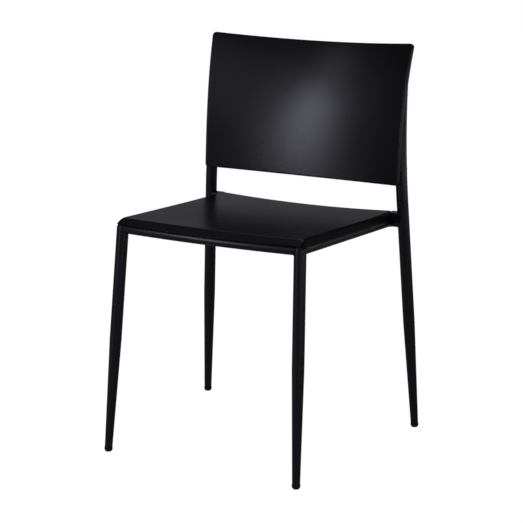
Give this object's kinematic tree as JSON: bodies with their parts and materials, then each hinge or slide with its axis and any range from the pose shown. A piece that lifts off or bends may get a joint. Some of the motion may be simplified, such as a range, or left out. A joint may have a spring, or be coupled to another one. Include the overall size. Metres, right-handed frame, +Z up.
{
  "type": "four-leg chair",
  "caption": "Armless four-leg chair: tapered tube legs and rear uprights, seat rails, a thin moulded seat with a turned-down border and a curved moulded back.",
  "frame": {"origin": "on the floor, under the middle of the chair's outline", "axes": "+Z up, the chair faces -Y, +X to the right seen from the front; left in a node's name means -X"},
  "size_m": [0.5248, 0.4932, 0.7996],
  "materials": {
    "coated_tube": "black powder coat, satin with a fine orange peel",
    "shell_plastic": "black moulded plastic, satin with a fine mould texture",
    "small_plastic": "black moulded plastic, dull",
    "plain_steel": "zinc plated, dull",
    "black_steel": "black, satin"
  },
  "bodies": {
    "root": {"front_leg_left": "coated_tube", "front_leg_right": "coated_tube", "rear_leg_left": "coated_tube", "rear_leg_right": "coated_tube", "upright_left": "coated_tube", "upright_right": "coated_tube", "leg_sleeve_left": "plain_steel", "leg_sleeve_right": "plain_steel", "front_rail": "coated_tube", "rear_rail": "coated_tube", "side_rail_left": "coated_tube", "side_rail_right": "coated_tube", "rear_gusset_left": "coated_tube", "rear_gusset_right": "coated_tube", "seat_tab_front_left": "coated_tube", "seat_tab_front_right": "coated_tube", "seat_tab_rear_left": "coated_tube", "seat_tab_rear_right": "coated_tube", "seat_shell": "shell_plastic", "seat_screws": "plain_steel", "back_shell": "shell_plastic", "back_spacers": "small_plastic", "back_screws": "black_steel", "upright_plug_left": "small_plastic", "upright_plug_right": "small_plastic", "glide_front_left": "small_plastic", "glide_front_right": "small_plastic", "glide_rear_left": "small_plastic", "glide_rear_right": "small_plastic"}
  },
  "joints": []
}
